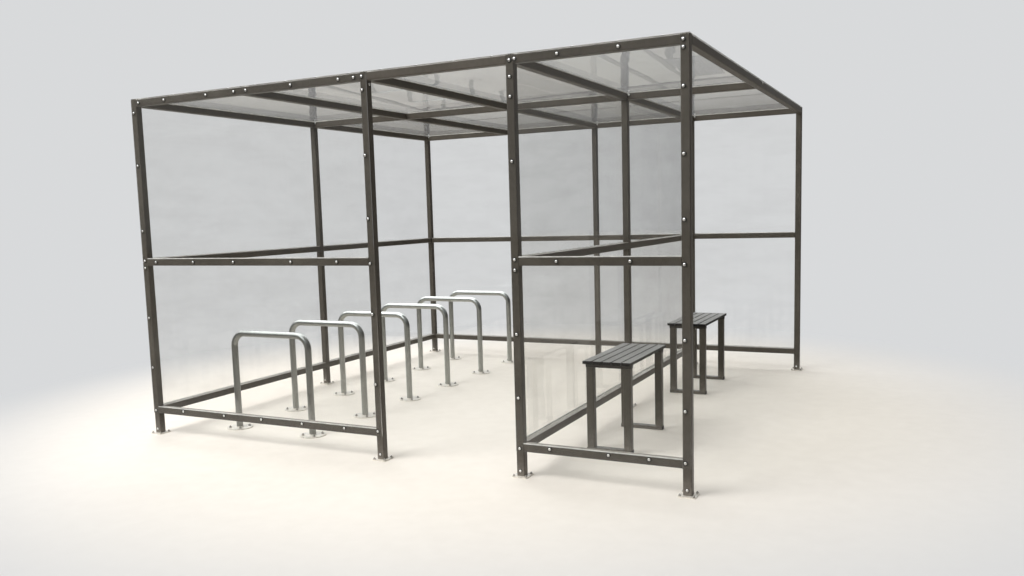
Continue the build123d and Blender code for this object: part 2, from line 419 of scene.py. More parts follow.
def zinc(name, dark, light, cell_scale, roughness, foot_dust=0.0, splash=0.2, painted_light_gain=1.0):
    """Dull zinc: each Voronoi cell takes its own shade and roughness, dust hides the metal, and the
    colour is multiplied by up to painted_light_gain from the open front inwards, as painted light."""
    material, tree, shader, _ = start_material(name)
    place = object_place(tree)
    warp = node(tree, "ShaderNodeTexNoise", {}, Vector=place, Scale=30.0, Detail=3.0)
    shift = node(tree, "ShaderNodeVectorMath", {"operation": "MULTIPLY_ADD"},
                 i0=warp.outputs["Color"], i1=(0.02, 0.02, 0.02), i2=place).outputs[0]
    cells = node(tree, "ShaderNodeTexVoronoi", {}, Vector=shift, Scale=cell_scale, Randomness=1.0)
    cell = node(tree, "ShaderNodeSeparateColor", {}, Color=cells.outputs["Color"]).outputs[0]
    tone = use_group(tree, TONE, Dark=dark, Light=light, Broad_scale=5.0, Fine_scale=90.0)
    patchy = blended(tree, times(tree, cell, CELL_SHARE), tone.outputs[0], light)
    # Painted light: the colour brightens from the open front inwards, for the sheen on the far hoops.
    gain = scaled(tree, part_of(tree, place, "Y"), PAINTED_LIGHT_FROM_Y, PAINTED_LIGHT_FULL_Y, 1.0, painted_light_gain)
    lighter = node(tree, "ShaderNodeVectorMath", {"operation": "SCALE"}, i0=patchy, Scale=gain)
    dust = use_group(tree, DUST, Top_amount=0.0, Splash_amount=splash, Splash_height=0.06,
                     Foot_amount=foot_dust)
    base = blended(tree, dust.outputs[0], lighter.outputs[0], SLAB_DUST)
    tree.links.new(base, shader.inputs["Base Color"])
    bare = scaled(tree, dust.outputs[0], high=METAL_HIDDEN, to_low=1.0, to_high=0.0)
    tree.links.new(bare, shader.inputs["Metallic"])
    rough = scaled(tree, cell, to_low=roughness - 0.01, to_high=roughness + 0.02)
    tree.links.new(rough, shader.inputs["Roughness"])
    relief = use_group(tree, RELIEF, Grain_scale=260.0, Wave_scale=14.0, Wave_share=0.5)
    add_relief(tree, shader, relief.outputs[0], strength=0.1, distance=0.0001)
    return material


GALVANISED = zinc("galvanised", (0.25, 0.257, 0.246, 1), (0.285, 0.292, 0.280, 1), 85.0, 0.30,
                  foot_dust=1.4, painted_light_gain=1.42)
BOLT_STEEL = zinc("bolt_steel", (0.60, 0.59, 0.56, 1), (0.80, 0.79, 0.76, 1), 400.0, 0.28)
ANCHOR_STEEL = zinc("anchor_steel", (0.17, 0.165, 0.15, 1), (0.30, 0.29, 0.27, 1), 300.0, 0.42,
                    splash=0.7)
print("zinc:", GALVANISED.name, BOLT_STEEL.name, ANCHOR_STEEL.name)

# %% [markdown]
# **Clear sheet.** The walls and the roof are clear plastic sheet, a little grey, with faint
# streaks and a slow waviness that bends reflections. It is real glass to the camera, with both
# faces of the sheet. Glass would hold back the light of the lamps, the light that the floor
# scatters and the highlights on the tubes inside, so those rays meet a Transparent shader
# instead. The faces are perfectly smooth and only the relief bends them, so the light that they
# mirror stays one sharp ray, which the world can tell from the soft shine on steel. The waviness
# and streaks run across the sheet, so walls and roof share one function with their own stretch.

# %% Clear sheet
LIGHT_THROUGH = (0.953, 0.96, 0.957, 1)
STREAK_RANGE = (0.42, 0.72)


def mirrored_ray(tree, path):
    """1 for a ray that a surface has mirrored: glossy, and not one that a rough sheet let through."""
    return node(tree, "ShaderNodeMath", {"operation": "SUBTRACT", "use_clamp": True},
                i0=path.outputs["Is Glossy Ray"], i1=path.outputs["Is Transmission Ray"]).outputs[0]


def clear_sheet(name, stretch, tint, wave_depth):
    """Wavy clear plastic: streaks from a stretched noise darken it a little, and lamps shine through."""
    material, tree, shader, output = start_material(
        name, Metallic=0.0, IOR=1.36, Roughness=0.0, Transmission_Weight=1.0)
    along = node(tree, "ShaderNodeMapping", {}, Vector=object_place(tree), Scale=stretch).outputs[0]
    streaks = noise(tree, along, scale=3.0, detail=6.0, roughness=0.6)
    mask = scaled(tree, streaks, *STREAK_RANGE)
    clean = (tint, tint, tint - 0.006, 1)
    film = (tint - 0.05, tint - 0.052, tint - 0.058, 1)
    tree.links.new(blended(tree, mask, clean, film), shader.inputs["Base Color"])
    wave = noise(tree, along, scale=1.6, detail=1.5)
    add_relief(tree, shader, wave, strength=1.0, distance=wave_depth)
    path = node(tree, "ShaderNodeLightPath")
    through = node(tree, "ShaderNodeBsdfTransparent", {}, Color=LIGHT_THROUGH)
    lighting = larger(tree, path.outputs["Is Shadow Ray"], path.outputs["Is Diffuse Ray"])
    soft = larger(tree, lighting, mirrored_ray(tree, path))
    mix = node(tree, "ShaderNodeMixShader", {}, i0=soft, i1=shader.outputs[0], i2=through.outputs[0])
    tree.links.new(mix.outputs[0], output.inputs["Surface"])
    return material


WALL_CLEAR = clear_sheet("wall_sheet", (0.7, 0.7, 2.2), 0.975, 0.0022)
ROOF_CLEAR = clear_sheet("roof_sheet", (2.4, 0.7, 0.7), 0.965, 0.003)
print("sheets:", WALL_CLEAR.name, ROOF_CLEAR.name)

# %% [markdown]
# ** Slats.** The seats are composite slats whose tops have weathered to a dusty grey. Every face
# that doesn't look up, and the rounded upper corners, is near-black: painted shade for the gaps
# between the slats and for their shaded ends. The upward part of the normal mixes the two. Fine
# grain lines run along the slat, so the noise is squeezed across it and stretched along it.
# Washers, end caps and sealant have a plain moulded skin.

# %% Slats and plastics
SLAT_PAINTED_SHADE = (0.010, 0.0095, 0.009, 1)
SLAT_STRETCH = (60.0, 1.0, 60.0)
SLAT_SHADE_TO_TOP = (0.75, 0.97)
GRAIN_SHARE = 0.5


def slat_composite(name, dark, light):
    """Grain lines along Y from a noise stretched sixty to one; faces that don't look up get painted
    shade.
    """
    material, tree, shader, _ = start_material(name, Metallic=0.0, IOR=1.45, Specular_IOR_Level=0.25)
    along = node(tree, "ShaderNodeMapping", {}, Vector=object_place(tree), Scale=SLAT_STRETCH)
    grain = noise(tree, along.outputs[0], scale=6.0, detail=6.0, roughness=0.65)
    mask = scaled(tree, grain, *GRAIN_RANGE)
    tone = use_group(tree, TONE, Dark=dark, Light=light, Broad_scale=3.0, Fine_scale=40.0)
    lines = blended(tree, times(tree, mask, GRAIN_SHARE), tone.outputs[0], light)
    normal = node(tree, "ShaderNodeNewGeometry").outputs["Normal"]
    # Painted shade: faces and rounded corners that don't look up go near-black; only the tops keep the
    # grey.
    up = scaled(tree, part_of(tree, normal, "Z"), *SLAT_SHADE_TO_TOP)
    tree.links.new(blended(tree, up, SLAT_PAINTED_SHADE, lines), shader.inputs["Base Color"])
    tree.links.new(scaled(tree, mask, to_low=0.42, to_high=0.60), shader.inputs["Roughness"])
    add_relief(tree, shader, grain, strength=0.5, distance=0.0008)
    return material


def moulded(name, colour, roughness):
    """Moulded plastic, rubber or sealant in one colour and a lighter one, with a fine grained skin."""
    material, tree, shader, _ = start_material(name, Metallic=0.0, IOR=1.45)
    lighter = tuple(min(1.0, c * 1.6) for c in colour[:3]) + (1,)
    tone = use_group(tree, TONE, Dark=colour, Light=lighter, Broad_scale=20.0, Fine_scale=300.0)
    tree.links.new(tone.outputs[0], shader.inputs["Base Color"])
    rough = scaled(tree, tone.outputs[1], to_low=roughness, to_high=roughness + 0.12)
    tree.links.new(rough, shader.inputs["Roughness"])
    relief = use_group(tree, RELIEF, Grain_scale=1200.0, Wave_scale=60.0, Wave_share=0.3)
    add_relief(tree, shader, relief.outputs[0], strength=0.3, distance=0.0004)
    return material


SLATS = slat_composite("bench_slat", (0.150, 0.146, 0.139, 1), (0.245, 0.238, 0.227, 1))
# Near-black rubber, dark enough to also paint the shade round the bolt heads.
WASHER_AND_SHADE = moulded("washer_rubber_and_shade", (0.012, 0.012, 0.011, 1), 0.5)
SEALANT_AND_HIGHLIGHT = moulded("sealant_painted_highlight", (0.46, 0.455, 0.43, 1), 0.35)
print("plastics:", SLATS.name, WASHER_AND_SHADE.name, SEALANT_AND_HIGHLIGHT.name)

# %% [markdown]
# Each node now gets its finish by its name. A node keeps its mesh as it came; only the material
# in its slots changes.

# %% Dress the nodes
def finish_of(name):
    """The material of a node, read from the words in its name."""
    if name.startswith("sheets_"):
        return ROOF_CLEAR if name == "sheets_roof" else WALL_CLEAR
    if name.startswith(("bike_hoop", "foot_")):
        return GALVANISED
    if "bench" in name:
        return {"slats": SLATS, "bars": BAR_PAINTED_SHADE, "legs": BENCH_PAINT}[name.rsplit("_", 1)[1]]
    return FRAME_PAINT


for name, obj in nodes.items():
    material = finish_of(name)
    if not obj.material_slots:
        obj.data.materials.append(material)
    for slot in obj.material_slots:
        slot.material = material
print("dressed", len(nodes), "nodes")

# %% [markdown]
# ## Fasteners
#
# Three kinds of fastener hold the shelter together. Low dome-headed bolts on dark washers press
# the sheets against the frame. A stronger bolt through the foot of each post holds it on its
# spigot. Anchor studs with a nut and washer hold the foot plates and the flanges of the hoops on
# the ground. All of them are turned shapes: a profile of radius and height goes round an axis,
# with six steps for a nut and more for what is round. There are hundreds, so each has few faces.

# %% Shapes of the fasteners
# The sheet washers are wide and near-black: dark rubber, and painted shade round each bolt head.
WASHER_RADIUS, WASHER_HEIGHT = 0.0132, 0.0016
HEAD_RADIUS, HEAD_HEIGHT = 0.0086, 0.0042
POST_BOLT_RADIUS, POST_BOLT_HEIGHT = 0.0085, 0.0055
POST_WASHER_RADIUS = 0.0112
THREAD_RIDGES = 4


def dome(radius, height, base, rings=4):
    """Profile of a low dome: a short edge, then a quarter of an ellipse up to a small flat."""
    t = np.linspace(0, 0.46 * math.pi, rings)
    edge = 0.2 * height
    curve = [(radius * math.cos(a), base + edge + (height - edge) * math.sin(a)) for a in t]
    return [(radius, base)] + curve


def washer(radius, height, segments=14):
    """Flat ring whose upper edge is cut back a little."""
    return turned([(radius, 0.0), (radius, 0.7 * height), (0.9 * radius, height)], segments)


def nut(across, height, base):
    """Six-sided nut: its corner radius is half the width across flats over the cosine of 30 degrees."""
    corner = across / 2 / math.cos(math.pi / 6)
    return turned([(0.93 * corner, base), (corner, base + 0.1 * height), (corner, base + 0.88 * height),
                   (0.90 * corner, base + height)], segments=6)


def stud_end(thread, base, height):
    """End of a threaded stud: its radius goes in and out, 0.44 to 0.50 of the thread, per ridge."""
    z = np.linspace(base, base + height, 2 * THREAD_RIDGES + 1)
    radius = np.where(np.arange(len(z)) % 2 == 0, 0.44, 0.50) * thread
    return turned(list(zip(radius, z)), segments=10)


def anchor(thread, across, washer_radius):
    """Washer, nut and stud end, one on the other, in the usual shares of the thread's diameter."""
    plate, body = 0.18 * thread, 0.8 * thread
    return joined(washer(washer_radius, plate), nut(across, body, plate),
                  stud_end(thread, plate + body, 0.6 * thread))


sheet_head = turned(dome(HEAD_RADIUS, HEAD_HEIGHT, WASHER_HEIGHT), segments=12)
sheet_washer = washer(WASHER_RADIUS, WASHER_HEIGHT)
print("faces in one sheet bolt:", len(sheet_head[1]) + len(sheet_washer[1]))

# %% [markdown]
# The bolts of the front sheets were drilled by hand, so their steps are a little uneven, and the
# lists give them one by one. The walls that can't be seen well follow a rule: along each rail
# and up each post, a bolt at most 375 mm from the next. A bolt sits on the outer face of its
# sheet, so its place comes from the same sizes as the sheet.

# %% Where the wall bolts go
# Along the top, mid and bottom rail of the front left bay, and then of the front right bay.
TOP_X = [-1.949, -1.696, -1.301, -1.049, -0.944, -0.567, -0.188, -0.071]
MID_X = [-1.890, -1.524, -1.150, -0.646, -0.270]
LOW_X = [-1.722, -1.326, -0.983, -0.626, -0.276]
RIGHT_TOP_X = [1.032, 1.291, 1.643]
RIGHT_MID_X = [1.260, 1.694]
RIGHT_LOW_X = [1.193, 1.553, 1.789]
# Up the front: the x of each row beside a post, and the heights of its bolts.
FRONT_POSTS = {
    -2.001: [0.178, 0.500, 0.870, 1.238, 1.290, 1.506, 1.976, 2.350],
    -0.010: [0.189, 0.496, 0.947, 1.268, 1.549, 1.941, 2.338, 2.420],
    1.000: [0.174, 0.478, 0.855, 1.230, 1.290, 1.850, 2.213, 2.322, 2.413],
    1.992: [0.187, 0.472, 0.858, 1.262, 1.498, 1.838, 2.183, 2.378, 2.418],
}
# Up every post that follows the rule.
POST_Z = [0.180, 0.480, 0.858, 1.232, 1.294, 1.500, 1.850, 2.200, 2.370]
SPACING = 0.375
EDGE = 0.027
LOW_ROW_RISE = 0.008
WALL_INSET = 0.15
ROOF_INSET = 0.12
PURLIN_CLEARANCE = 0.045
PURLIN_LOW_Z = 2.30


def even(first, last):
    """Places from first to last with equal steps no longer than the bolt spacing."""
    count = int(math.ceil((last - first) / SPACING)) + 1
    return np.linspace(first, last, count)


def front_places():
    """Bolts on the front: along three rails of each sheeted bay and up the posts beside them."""
    rows = [(TOP_X + RIGHT_TOP_X, FRAME_TOP - EDGE), (MID_X + RIGHT_MID_X, MID_Z),
            (LOW_X + RIGHT_LOW_X, BOTTOM_Z + LOW_ROW_RISE)]
    places = [(x, z) for xs, z in rows for x in xs]
    places += [(x, z) for x, heights in FRONT_POSTS.items() for z in heights]
    return np.array([(x, ROWS[0] - HALF - WALL_SHEET, z) for x, z in places])


def wall_places(spans, posts, fixed, axis):
    """Bolts on a wall by the rule: along each rail of its spans, and up each post."""
    heights = (BOTTOM_Z, MID_Z, FRAME_TOP - EDGE)
    spots = [(a, z) for start, end in spans for a in even(start + WALL_INSET, end - WALL_INSET)
             for z in heights]
    spots += [(p, z) for p in posts for z in POST_Z]
    if axis == "x":
        return np.array([(a, fixed, z) for a, z in spots])
    return np.array([(fixed, a, z) for a, z in spots])


# The spans between posts; the front's middle span is the entrance and has no sheet.
REAR_SPANS = [(-2, 0), (0, 1), (1, 2)]
FRONT_SPANS = [(-2, 0), (1, 2)]
DEPTH_SPANS = [(-2, 0), (0, 2)]
rear = wall_places(REAR_SPANS, [-2, 0, 1, 2], ROWS[2] + HALF + WALL_SHEET, "x")
left = wall_places(DEPTH_SPANS, [0, 2], COLUMNS[0] - HALF - WALL_SHEET, "y")
divider = wall_places(DEPTH_SPANS, [0], PARTITION_X - HALF - WALL_SHEET, "y")
under_purlin = (np.abs(divider[:, 1]) < PURLIN_CLEARANCE) & (divider[:, 2] > PURLIN_LOW_Z)
divider = divider[~under_purlin]
walls = [(front_places(), (0, -1, 0)), (rear, (0, 1, 0)), (left, (-1, 0, 0)), (divider, (-1, 0, 0))]
print("wall bolts:", [len(places) for places, _ in walls])

# %% [markdown]
# The roof's bolts follow the same rule on every line of the frame. Where lines cross, the first
# bolt stands 120 mm off the crossing, clear of the joint between the sheets.

# %% Where the roof bolts go
def roof_places():
    """Bolts on the roof: along every rail, rafter and purlin line, at the bolt spacing."""
    top = FRAME_TOP + ROOF_SHEET
    spots = [(x, y) for x in COLUMNS for a, b in zip(ROWS, ROWS[1:])
             for y in even(a + ROOF_INSET, b - ROOF_INSET)]
    spots += [(x, y) for y in ROWS for a, b in zip(COLUMNS, COLUMNS[1:])
              for x in even(a + ROOF_INSET, b - ROOF_INSET)]
    return np.array([(x, y, top) for x, y in spots])


spots = walls + [(roof_places(), (0, 0, 1))]
heads = joined(*[copies(sheet_head, places, axis) for places, axis in spots])
pads = joined(*[copies(sheet_washer, places, axis) for places, axis in spots])
add_piece("sheet_bolt_heads", heads, BOLT_STEEL)
add_piece("sheet_bolt_washers", pads, WASHER_AND_SHADE)

# %% [markdown]
# Each post drops over a spigot on its foot plate, and one bolt goes through both, just above the
# ground. Its domed head faces the front, and its nut is behind. High up, smaller bolts hold the
# rails together where they meet: inside, just right of the corner, on the purlin and on the rear
# rail, and from the right on the right top rail and near the top of the second post.

# %% Bolts through the posts and joints
POST_BOLT_Z = 0.036
JOINT_BOLT_Z = 2.430
JOINT_INSET = 0.038
SIDE_BOLT_Z = 2.372
post_centres = np.array([(x, y, POST_BOLT_Z) for x, y in POSTS], float)
front_faces = post_centres - (0, HALF, 0)
back_faces = post_centres + (0, HALF, 0)
post_head = turned(dome(POST_BOLT_RADIUS, POST_BOLT_HEIGHT, WASHER_HEIGHT), segments=14)
post_washer = washer(POST_WASHER_RADIUS, WASHER_HEIGHT)
post_nut = nut(across=0.016, height=0.008, base=WASHER_HEIGHT)
inner_faces = [(x + JOINT_INSET, y - HALF, JOINT_BOLT_Z)
               for y in ROWS[1:] for x in (COLUMNS[0], 0.0, PARTITION_X)]
side_faces = [(COLUMNS[4] + HALF, ROWS[1], JOINT_BOLT_Z), (HALF, ROWS[0], SIDE_BOLT_Z)]
sides = [(front_faces, (0, -1, 0), post_head, post_washer),
         (back_faces, (0, 1, 0), post_nut, post_washer),
         (inner_faces, (0, -1, 0), sheet_head, sheet_washer),
         (side_faces, (1, 0, 0), sheet_head, sheet_washer)]
through = joined(*[copies(head, faces, axis) for faces, axis, head, _ in sides])
under = joined(*[copies(ring, faces, axis) for faces, axis, _, ring in sides])
add_piece("post_bolts", through, BOLT_STEEL)
add_piece("post_bolt_washers", under, WASHER_AND_SHADE)

# %% [markdown]
# Anchor studs come up through the holes that the foot plates and flanges already have: four at
# the corners of each plate, and four on a circle in each flange, turned by 45 degrees. The nut
# and washer rest on the plate's upper face.

# %% Anchors in plates and flanges
PLATE_REACH = 0.039
FLANGE_CIRCLE = 0.070
corners = np.array([(a, b) for a in (-1, 1) for b in (-1, 1)], float)
plate_places = np.array([(x + PLATE_REACH * a, y + PLATE_REACH * b, PLATE_TOP)
                         for x, y in POSTS for a, b in corners])
flange_reach = FLANGE_CIRCLE * math.cos(math.pi / 4)
flange_places = np.array([(x + flange_reach * a, y + flange_reach * b, PLATE_TOP)
                          for x in LEG_XS for y in HOOP_YS for a, b in corners])
plate_anchor = anchor(thread=0.008, across=0.013, washer_radius=0.008)
flange_anchor = anchor(thread=0.010, across=0.016, washer_radius=0.010)
anchors = joined(copies(plate_anchor, plate_places, (0, 0, 1)),
                 copies(flange_anchor, flange_places, (0, 0, 1)))
add_piece("anchor_bolts", anchors, ANCHOR_STEEL)

# %% [markdown]
# ## Weld beads
#
# Rails meet the posts square and are welded round. Outside, where a sheet lies on the joint, the
# weld is ground flat and nothing shows. Inside a corner between two faces a small convex bead is
# left. Its section is a quarter circle between the two faces, and it swells and shrinks along the
# corner as the pool of each tack froze. Painted beads belong to the frame and the benches, and a
# bare zinc bead goes round each leg of a hoop.

# %% Beads as grids
BEAD_SIZE = 0.0032
BEAD_PITCH = 0.0045
RIPPLE = 0.1
ARC = np.linspace(0, math.pi / 2, 4)
# The inner corner of the section is sunk into the metal, so that no gap can show.
SUNK = -0.3
BEAD_OUT = np.concatenate([[SUNK], np.sin(ARC)])
BEAD_UP = np.concatenate([[SUNK], np.cos(ARC)])


def rippled(along, size, ripple=RIPPLE):
    """Bead size at a distance along it: size * (1 + ripple * sin(2 pi distance / pitch))."""
    return size * (1 + ripple * np.sin(2 * math.pi * along / BEAD_PITCH))


def straight_beads(centres, outs, ups, half_lengths, size=BEAD_SIZE, steps=17, ripple=RIPPLE):
    """Beads on corner lines: point = centre + s*along + size(s) * (a*out + b*up), along = up x out."""
    centres, outs, ups = (np.asarray(v, float) for v in (centres, outs, ups))
    along = np.cross(ups, outs)
    s = np.broadcast_to(half_lengths, len(centres))[:, None] * np.linspace(-1, 1, steps)
    line = centres[:, None, None] + along[:, None, None] * s[:, :, None, None]
    section = BEAD_OUT[:, None] * outs[:, None, None] + BEAD_UP[:, None] * ups[:, None, None]
    points = line + rippled(s, size, ripple)[:, :, None, None] * section
    sides = len(BEAD_OUT)
    return points.reshape(-1, 3), repeated(closed_grid(steps, sides), steps * sides, len(centres))


def ring_bead(radius, size, steps=48):
    """A bead round a tube: the same section, with out away from the tube's axis and up along it."""
    angle = np.arange(steps) * 2 * math.pi / steps
    out = np.stack([np.cos(angle), np.sin(angle), 0 * angle], axis=-1)
    swell = rippled(radius * angle, size)[:, None, None]
    section = BEAD_OUT[:, None] * out[:, None] + BEAD_UP[:, None] * np.array([0, 0, 1.0])
    points = radius * out[:, None] + swell * section
    return points.reshape(-1, 3), grid_quads(steps, len(BEAD_OUT), wrap_rows=True).tolist()


print("faces in one ring:", len(ring_bead(LEG_RADIUS, BEAD_SIZE)[1]))

# %% [markdown]
# Each rail is written once, as its two ends and the sides on which a corner is left: u and d for
# its upper and lower face, and l and r for the faces towards lower and higher x or y. A side that
# is flush with the next tube, or lies under a sheet, has no bead.

# %% Which corners are welded
BEAD_END_GAP = 0.006
X_AXIS, Y_AXIS, Z_AXIS = np.eye(3)
rails = []
for level, sides in ((TOP_RAIL_Z, "d"), (MID_Z, "ud"), (BOTTOM_Z, "ud")):
    front_spans = REAR_SPANS if level == TOP_RAIL_Z else FRONT_SPANS
    inner = "rd" if level == TOP_RAIL_Z else sides
    rails += [((a, ROWS[0], level), (b, ROWS[0], level), sides, sides) for a, b in front_spans]
    rails += [((a, ROWS[2], level), (b, ROWS[2], level), sides, sides) for a, b in REAR_SPANS]
    for x, marks in ((COLUMNS[0], sides), (PARTITION_X, inner)):
        rails += [((x, a, level), (x, b, level), marks, marks) for a, b in DEPTH_SPANS]
for x, marks in ((COLUMNS[4], "d"), (COLUMNS[1], "lr"), (COLUMNS[2], "lrd")):
    rails.append(((x, ROWS[0], TOP_RAIL_Z), (x, ROWS[2], TOP_RAIL_Z), marks, marks))
purlin_ends = [(-2, -1, "lrd", "lr"), (-1, 0, "lr", "lr"), (0, 1, "lr", "d"), (1, 2, "d", "lr")]
rails += [((a, ROWS[1], TOP_RAIL_Z), (b, ROWS[1], TOP_RAIL_Z), *marks) for a, b, *marks in purlin_ends]


def rail_corners(start, end, start_sides, end_sides):
    """Corner centres of one rail, each with its face's normal and the way back along the rail."""
    start, end = np.array(start, float), np.array(end, float)
    axis = (end - start) / np.linalg.norm(end - start)
    across = X_AXIS if abs(axis[0]) < 0.5 else Y_AXIS
    normals = {"u": Z_AXIS, "d": -Z_AXIS, "l": -across, "r": across}
    found = [(start + HALF * (axis + normals[s]), normals[s], axis) for s in start_sides]
    return found + [(end + HALF * (normals[s] - axis), normals[s], -axis) for s in end_sides]


corners_of_rails = [corner for rail in rails for corner in rail_corners(*rail)]
frame_beads = straight_beads(*zip(*corners_of_rails), half_lengths=HALF - BEAD_END_GAP)
add_piece("frame_welds", frame_beads, FRAME_PAINT, smooth_angle=60)

# %% [markdown]
# The hoops' beads are rings round the legs, where they stand on their flanges. The benches' legs
# are welded between their bars, so each leg has a bead at both ends, on the side towards the
# middle of the bench. The other sides are ground flush.

# %% Welds of hoops and benches
HOOP_BEAD_SIZE = 0.0045
BENCH_BAR = 0.025
BENCH_LEG_HALF = 0.025
BENCH_BEAD_HALF = 0.020
BENCHES = ("front_bench", "rear_bench")
leg_places = np.array([(x, y, PLATE_TOP) for x in LEG_XS for y in HOOP_YS])
hoop_beads = copies(ring_bead(LEG_RADIUS, HOOP_BEAD_SIZE), leg_places, (0, 0, 1))
add_piece("hoop_welds", hoop_beads, GALVANISED, smooth_angle=60)
bench_corners = []
for bench in BENCHES:
    low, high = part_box(bench + "_legs")
    for x, inward in ((low.x + 2 * BENCH_LEG_HALF, X_AXIS), (high.x - 2 * BENCH_LEG_HALF, -X_AXIS)):
        for y in (low.y + BENCH_LEG_HALF, high.y - BENCH_LEG_HALF):
            bench_corners += [((x, y, low.z), inward, Z_AXIS), ((x, y, high.z), inward, -Z_AXIS)]
bench_beads = straight_beads(*zip(*bench_corners), half_lengths=BENCH_BEAD_HALF)
add_piece("bench_welds", bench_beads, BENCH_PAINT, smooth_angle=60)

# %% [markdown]
# ## Sealant and painted highlight
#
# A pale line runs along the upper edge of every rail. It is partly the sky's highlight on the
# rounded corner of the rail and partly the sealant that closes the groove between a sheet and that
# corner, and one pale bead paints both: under the roof on all four sides of each bay, and on the
# mid and bottom rails where the wall sheets pass them. It is the same quarter-round section as a
# weld, with no ripples, in pale grey.

# %% Sealant and highlight lines
SEAL_SIZE = 0.0045
lines = []
for x0, x1 in zip(COLUMNS, COLUMNS[1:]):
    for y0, y1 in zip(ROWS, ROWS[1:]):
        low_x, low_y, high_y = x0 + HALF, y0 + HALF, y1 - HALF
        high_x = x1 - HALF - (WALL_SHEET if x1 == PARTITION_X else 0.0)
        mid_x, mid_y = (low_x + high_x) / 2, (low_y + high_y) / 2
        half_x, half_y = (high_x - low_x) / 2, (high_y - low_y) / 2
        for y, inward in ((low_y, Y_AXIS), (high_y, -Y_AXIS)):
            lines.append(((mid_x, y, FRAME_TOP), half_x, inward, -Z_AXIS))
        for x, inward in ((low_x, X_AXIS), (high_x, -X_AXIS)):
            lines.append(((x, mid_y, FRAME_TOP), half_y, inward, -Z_AXIS))
front_lines = [(a, b, ROWS[0] - HALF, Y_AXIS) for a, b in FRONT_SPANS]
rear_lines = [(a, b, ROWS[2] + HALF, -Y_AXIS) for a, b in REAR_SPANS]
for z in (MID_Z + HALF, BOTTOM_Z + HALF):
    for a, b, y, inward in front_lines + rear_lines:
        lines.append((((a + b) / 2, y, z), (b - a) / 2 - HALF, inward, Z_AXIS))
    for a, b in DEPTH_SPANS:
        for x in (COLUMNS[0] - HALF, PARTITION_X - HALF):
            lines.append(((x, (a + b) / 2, z), (b - a) / 2 - HALF, X_AXIS, Z_AXIS))
centres, halves, outs, ups = zip(*lines)
# Pale beads: sealant, and a painted highlight of the sky on the rails' rounded upper corners.
sealant = straight_beads(centres, outs, ups, np.array(halves), SEAL_SIZE, steps=2, ripple=0.0)
add_piece("sealant_and_highlight_lines", sealant, SEALANT_AND_HIGHLIGHT)

# %% [markdown]
# ## Bench end caps and slat bolts
#
# The bars of a bench are open box sections. A thin black plastic cap with a rounded edge closes
# each end. The outline is a rounded rectangle: four corner centres, each with a quarter circle
# round it. Three outlines, the last drawn in, make the cap. Under the top bars a bolt goes up
# into each slat that isn't above a leg.

# %% End caps
CAP_CORNER = 0.0025
SLAT_PITCH = 0.0655


def rounded_outline(width, height, corner, per_corner=4):
    """Points of a rounded rectangle: corner centre + radius * (cos, sin) over each quarter turn."""
    quarter = np.linspace(0, math.pi / 2, per_corner)
    angle = (np.arange(4)[:, None] * math.pi / 2 + quarter[None, :]).ravel()
    sign_x = np.repeat([1, -1, -1, 1], per_corner)
    sign_y = np.repeat([1, 1, -1, -1], per_corner)
    x = sign_x * (width / 2 - corner) + corner * np.cos(angle)
    y = sign_y * (height / 2 - corner) + corner * np.sin(angle)
    return np.stack([x, y], axis=-1)


def end_cap(width, height, thickness):
    """Cap as three outlines one above another, the last smaller by its own thickness all round."""
    outer = rounded_outline(width, height, CAP_CORNER)
    inner = rounded_outline(width - thickness, height - thickness, 0.8 * CAP_CORNER)
    levels = [(outer, 0.0), (outer, 0.6 * thickness), (inner, thickness)]
    points = np.concatenate([np.column_stack([xy, np.full(len(xy), z)]) for xy, z in levels])
    return points, closed_grid(len(levels), len(outer))


cap = end_cap(width=0.050, height=BENCH_BAR, thickness=0.002)
cap_spots = []
bolt_spots = []
for bench in BENCHES:
    low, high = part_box(bench + "_bars")
    middle_x = (low.x + high.x) / 2
    for y in (low.y + BENCH_LEG_HALF, high.y - BENCH_LEG_HALF):
        for z in (low.z + BENCH_BAR / 2, high.z - BENCH_BAR / 2):
            cap_spots += [((low.x, y, z), -X_AXIS), ((high.x, y, z), X_AXIS)]
        bolt_spots += [(middle_x + step * SLAT_PITCH, y, high.z - BENCH_BAR) for step in (-1, 0, 1)]
caps = joined(*[copies(cap, place, axis) for place, axis in cap_spots])
add_piece("bench_end_caps", caps, WASHER_AND_SHADE)
slat_nut = nut(across=0.010, height=0.005, base=WASHER_HEIGHT)
slat_bolt = joined(washer(0.009, WASHER_HEIGHT), slat_nut)
add_piece("slat_bolts", copies(slat_bolt, bolt_spots, (0, 0, -1)), BOLT_STEEL)

# %% [markdown]
# ## Camera
#
# The camera's place, lens and turn come from fitting the known grid of the shelter to its corners
# in the photograph: it stands to the right of the shelter, at eye height. The small shift keeps
# the photograph's framing, which is a crop that isn't quite centred.

# %% Camera
camera_data = bpy.data.cameras.new("Camera")
camera = bpy.data.objects.new("Camera", camera_data)
bpy.context.scene.collection.objects.link(camera)
camera.location = (3.195, -6.566, 1.556)
camera.rotation_euler = [math.radians(a) for a in (83.502, 1.681, 26.680)]
camera_data.lens = 30.694
camera_data.sensor_width = 36.0
camera_data.shift_x = 0.0117
camera_data.shift_y = 0.0247
camera_data.clip_end = 200.0
bpy.context.scene.camera = camera
bpy.context.scene.view_settings.view_transform = "Standard"
print("camera at", tuple(round(c, 3) for c in camera.location))

# %% [markdown]
# ## Floor
#
# A plain pale floor carries the soft shadows. Away from the shelter it turns into the pale
# colour of the backdrop, so there is no horizon line. The real slab is small and darker ground
# lies round it, so light that is scattered or mirrored finds a darker floor further out, which
# keeps the undersides and the low parts of the tubes as dark as they are on a grey day.

